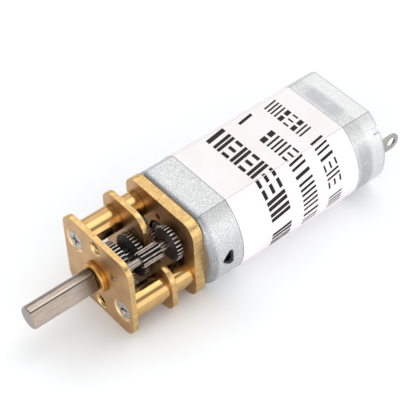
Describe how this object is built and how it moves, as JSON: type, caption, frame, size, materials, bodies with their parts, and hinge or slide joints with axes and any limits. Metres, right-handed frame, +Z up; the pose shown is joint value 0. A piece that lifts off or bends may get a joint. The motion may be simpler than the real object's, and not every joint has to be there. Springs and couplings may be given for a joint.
{
  "type": "geared dc motor",
  "caption": "Small brushed DC motor in a flat-sided can with an open brass-plate spur gearbox and a D-flat output shaft.",
  "frame": {"origin": "on the output shaft's axis, in the front face of the gearbox's front plate, midway between the two mounting holes", "axes": "the output shaft points along -Y and the motor lies towards +Y; +Z is up, square to the motor's flats; +X is right seen from the front"},
  "size_m": [0.0162, 0.0525, 0.012],
  "materials": {
    "brass": "satin, machined edges",
    "brass_post": "polished, turned",
    "bronze": "satin sintered bronze",
    "screw_steel": "zinc plated",
    "shaft_steel": "ground",
    "black_gear": "black oxide, bright worn tips",
    "bright_gear": "bare cut steel",
    "can_steel": "galvanised sheet",
    "label_film": "glossy film",
    "cap_plastic": "moulded",
    "tinned_brass": "tinned",
    "spring_bronze": "sheet",
    "carbon": "pressed graphite",
    "lamination": "stacked sheet",
    "enamel_wire": "enamelled copper wire",
    "copper": "turned",
    "ferrite": "pressed ferrite",
    "spring_steel": "strip",
    "phenolic": "moulded"
  },
  "bodies": {
    "housing": {"front_plate": "brass", "middle_plate": "brass", "back_plate": "brass", "front_posts": "brass_post", "rear_posts": "brass_post", "output_bushing": "bronze", "front_screws": "screw_steel", "motor_screws": "screw_steel", "shaft_washer": "bronze", "axle_a": "bright_gear", "axle_b": "bright_gear", "motor_can": "can_steel", "label": "label_film", "end_cap": "cap_plastic", "front_bearing": "bronze", "rear_bearing": "bronze", "terminals": "tinned_brass", "brush_arms": "spring_bronze", "brushes": "carbon", "magnets": "ferrite", "magnet_clip": "spring_steel"},
    "rotor": {"rotor_shaft": "bright_gear", "motor_pinion": "bright_gear", "armature_core": "lamination", "windings": "enamel_wire", "rotor_spacers": "phenolic", "commutator_hub": "phenolic", "commutator_bars": "copper"},
    "stage1_cluster": {"stage1_wheel": "black_gear", "stage1_pinion": "bright_gear"},
    "stage2_cluster": {"stage2_wheel": "black_gear", "stage2_pinion": "black_gear"},
    "stage3_cluster": {"stage3_wheel": "black_gear", "stage3_pinion": "bright_gear"},
    "output": {"output_shaft": "shaft_steel", "output_gear": "black_gear"}
  },
  "joints": [
    {"name": "rotor_spin", "type": "hinge", "parent": "housing", "child": "rotor", "pos_m": [0, 0, 0], "axis": [0, -1, 0], "continuous": true},
    {"name": "stage1_spin", "type": "hinge", "parent": "housing", "child": "stage1_cluster", "pos_m": [0.00295, 0, 0.00206], "axis": [0, -1, 0], "continuous": true},
    {"name": "stage2_spin", "type": "hinge", "parent": "housing", "child": "stage2_cluster", "pos_m": [0, 0, 0], "axis": [0, -1, 0], "continuous": true},
    {"name": "stage3_spin", "type": "hinge", "parent": "housing", "child": "stage3_cluster", "pos_m": [-0.00201, 0, -0.00298], "axis": [0, -1, 0], "continuous": true},
    {"name": "output_spin", "type": "hinge", "parent": "housing", "child": "output", "pos_m": [0, 0, 0], "axis": [0, -1, 0], "continuous": true}
  ],
  "couplings": [
    {"joint": "stage1_spin", "follows": "rotor_spin", "ratio": -0.66667},
    {"joint": "stage2_spin", "follows": "rotor_spin", "ratio": 0.21569},
    {"joint": "stage3_spin", "follows": "rotor_spin", "ratio": -0.078431},
    {"joint": "output_spin", "follows": "rotor_spin", "ratio": 0.022409}
  ]
}
